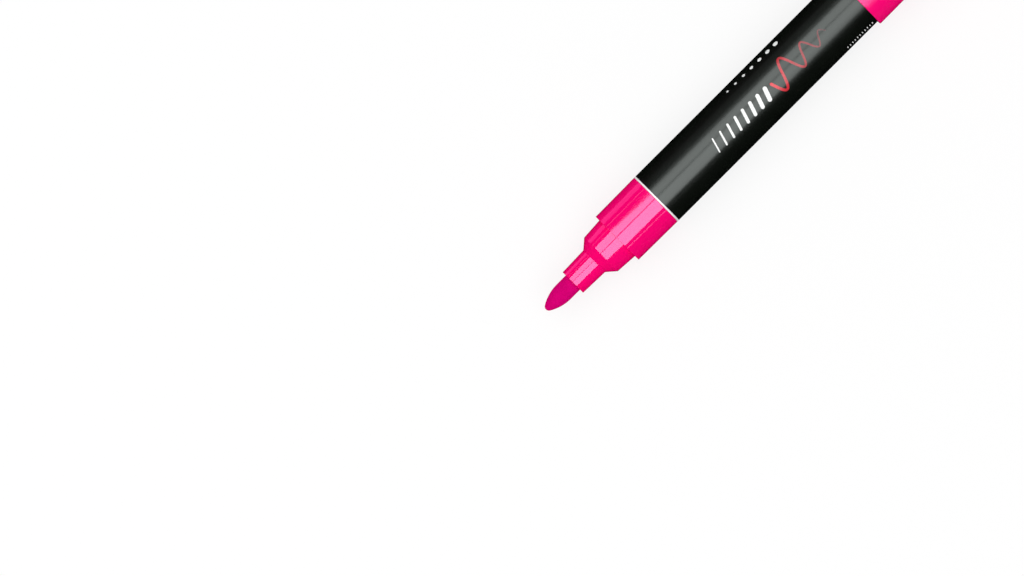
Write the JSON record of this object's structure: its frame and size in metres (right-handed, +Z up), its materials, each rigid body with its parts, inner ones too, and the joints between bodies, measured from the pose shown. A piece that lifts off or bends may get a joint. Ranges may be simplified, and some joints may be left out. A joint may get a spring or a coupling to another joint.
{
  "type": "wet-erase marker",
  "caption": "Wet-erase marker with a round black barrel, a stepped pink front with a bullet nib on a pump valve, and a pink cap pushed on over the tail.",
  "frame": {"origin": "middle of the marker's length with its cap on the tail, on its axis", "axes": "+X along the axis from the nib to the cap's closed end, +Z up as the marker lies on its side"},
  "size_m": [0.1682, 0.019, 0.019],
  "materials": {
    "pink_plastic": "gloss moulded",
    "black_film": "gloss film",
    "white_plastic": "satin moulded",
    "natural_plastic": "unpigmented moulded",
    "inked_felt": "bonded fibre soaked with pigment ink",
    "silicone": "soft translucent",
    "steel": "bright"
  },
  "bodies": {
    "barrel": {"barrel": "white_plastic", "label_sleeve": "black_film", "tail_plug": "pink_plastic", "front_section": "pink_plastic", "valve_seat": "white_plastic", "valve_cage": "white_plastic", "valve_spring": "steel"},
    "nib": {"nib": "inked_felt"},
    "valve": {"valve_stem": "white_plastic", "stem_seal": "silicone"},
    "cap": {"cap_shell": "pink_plastic", "cap_liner": "natural_plastic"},
    "front_ball": {"mixing_ball_front": "steel"},
    "rear_ball": {"mixing_ball_rear": "steel"}
  },
  "joints": [
    {"name": "nib_press", "type": "slide", "parent": "barrel", "child": "nib", "axis": [1, 0, 0], "range_m": [0, 0.0025]},
    {"name": "valve_open", "type": "slide", "parent": "barrel", "child": "valve", "axis": [1, 0, 0], "range_m": [0, 0.0025], "stiffness_N_per_m": 500, "deforming": ["valve_spring"]},
    {"name": "cap_pull", "type": "slide", "parent": "barrel", "child": "cap", "axis": [1, 0, 0], "range_m": [0, 0.03]},
    {"name": "front_ball_roll", "type": "slide", "parent": "barrel", "child": "front_ball", "axis": [1, 0, 0], "range_m": [-0.031, 0]},
    {"name": "rear_ball_roll", "type": "slide", "parent": "barrel", "child": "rear_ball", "axis": [1, 0, 0], "range_m": [0, 0.031]}
  ],
  "couplings": [
    {"joint": "valve_open", "follows": "nib_press", "ratio": 1}
  ]
}
